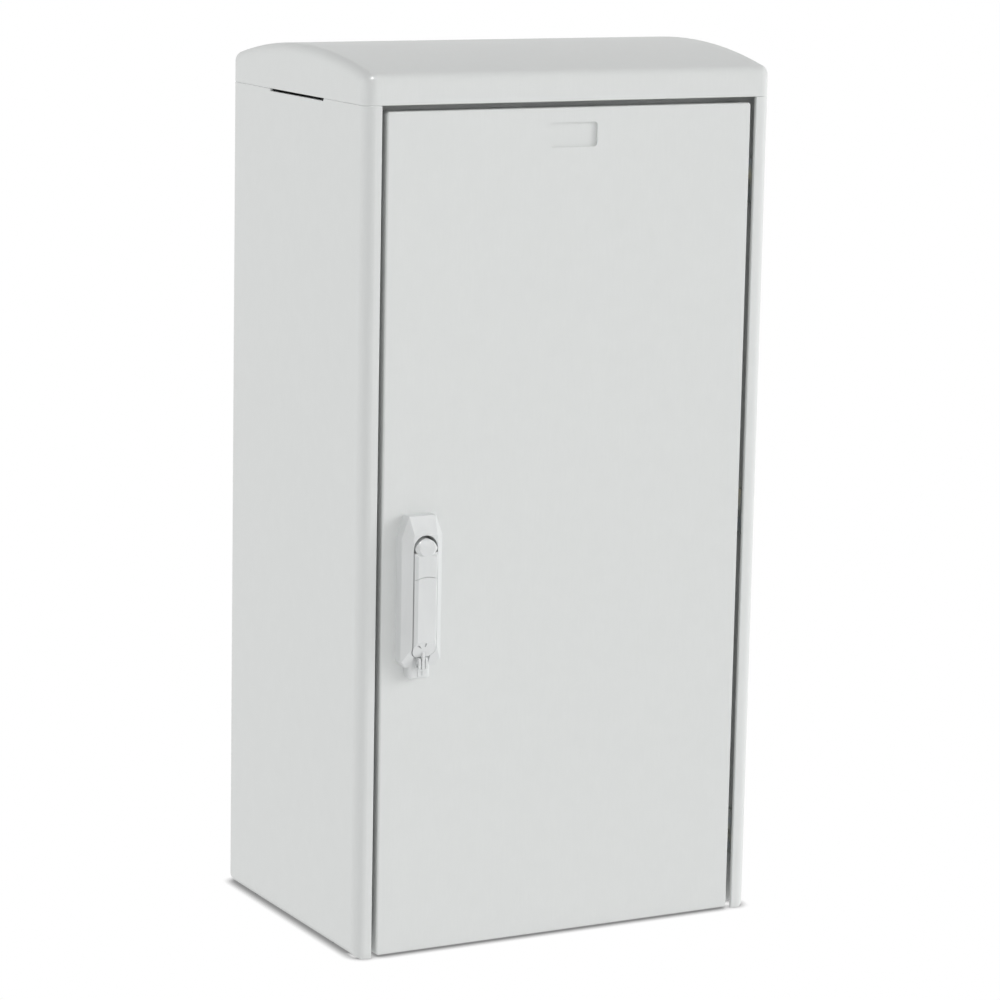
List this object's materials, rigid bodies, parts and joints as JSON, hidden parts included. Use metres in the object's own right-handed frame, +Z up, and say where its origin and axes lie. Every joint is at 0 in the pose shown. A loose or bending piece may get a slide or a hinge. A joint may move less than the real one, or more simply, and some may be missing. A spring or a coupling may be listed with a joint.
{
  "type": "roadside utility cabinet",
  "caption": "Free-standing light grey outdoor utility cabinet with a vaulted roof, an inset side-hinged door, a padlockable lift handle and a rack-and-pinion rod lock behind it.",
  "frame": {"origin": "on the ground under the middle of the cabinet body, at the centre of the anchor holes", "axes": "+Z up, -Y out of the door, +X towards the door's hinges"},
  "size_m": [0.508, 0.3765, 1],
  "materials": {
    "polyester": "moulded glass-fibre polyester, light grey, fine satin",
    "handle_polyamide": "moulded glass-filled polyamide, light grey",
    "black_polyamide": "moulded polyamide, black",
    "zinc_plated_steel": "zinc-plated steel",
    "galvanised_sheet": "galvanised sheet steel",
    "seal_rubber": "black EPDM sponge rubber"
  },
  "bodies": {
    "cabinet": {"left_side_panel": "polyester", "right_side_panel": "polyester", "roof": "polyester", "back_panel": "polyester", "base_tray": "polyester", "sill_rail": "polyester", "header_rail": "polyester", "gland_plate": "black_polyamide", "top_panel": "polyester", "mounting_plate": "galvanised_sheet", "hinge_bracket_top": "zinc_plated_steel", "hinge_bracket_middle": "zinc_plated_steel", "hinge_bracket_bottom": "zinc_plated_steel", "hinge_pin_top": "zinc_plated_steel", "hinge_pin_middle": "zinc_plated_steel", "hinge_pin_bottom": "zinc_plated_steel", "upper_keeper": "zinc_plated_steel", "lower_keeper": "zinc_plated_steel", "side_keeper": "black_polyamide", "hinge_bolts": "zinc_plated_steel", "hinge_nuts": "zinc_plated_steel", "ceiling_screws": "zinc_plated_steel", "base_screws": "zinc_plated_steel", "back_screws": "zinc_plated_steel", "roof_screws": "zinc_plated_steel", "plate_screws": "zinc_plated_steel", "gland_screws": "zinc_plated_steel", "keeper_screws": "zinc_plated_steel", "side_keeper_screws": "zinc_plated_steel"},
    "door": {"door_panel": "polyester", "door_gasket": "seal_rubber", "hinge_arm_top": "zinc_plated_steel", "hinge_arm_middle": "zinc_plated_steel", "hinge_arm_bottom": "zinc_plated_steel", "hinge_arm_screws": "zinc_plated_steel", "lock_case": "zinc_plated_steel", "lock_cover": "zinc_plated_steel", "case_screws": "zinc_plated_steel", "upper_rod_guide": "black_polyamide", "lower_rod_guide": "black_polyamide", "guide_screws": "zinc_plated_steel", "handle_housing": "handle_polyamide", "handle_screws": "zinc_plated_steel", "lever_pin": "zinc_plated_steel"},
    "lever": {"lever_arm": "handle_polyamide", "lever_cover": "handle_polyamide"},
    "lock_core": {"spindle": "zinc_plated_steel", "pinion": "zinc_plated_steel", "lock_tongue": "zinc_plated_steel", "tongue_screw": "zinc_plated_steel"},
    "upper_rod": {"upper_lock_rod": "zinc_plated_steel"},
    "lower_rod": {"lower_lock_rod": "zinc_plated_steel"}
  },
  "joints": [
    {"name": "door_swing", "type": "hinge", "parent": "cabinet", "child": "door", "pos_m": [0.2405, -0.165, 0.4705], "axis": [0, 0, 1], "range_deg": [0, 110]},
    {"name": "lever_lift", "type": "hinge", "parent": "door", "child": "lever", "pos_m": [-0.1855, -0.1885, 0.465], "axis": [-1, 0, 0], "range_deg": [0, 30]},
    {"name": "lock_turn", "type": "hinge", "parent": "door", "child": "lock_core", "pos_m": [-0.1855, -0.1745, 0.465], "axis": [0, 1, 0], "range_deg": [0, 90]},
    {"name": "upper_rod_slide", "type": "slide", "parent": "door", "child": "upper_rod", "axis": [0, 0, 1], "range_m": [0, 0.01885]},
    {"name": "lower_rod_slide", "type": "slide", "parent": "door", "child": "lower_rod", "axis": [0, 0, -1], "range_m": [0, 0.01885]}
  ],
  "couplings": [
    {"joint": "lock_turn", "follows": "upper_rod_slide", "rad_per_m": 83.333},
    {"joint": "lower_rod_slide", "follows": "upper_rod_slide", "ratio": 1}
  ]
}
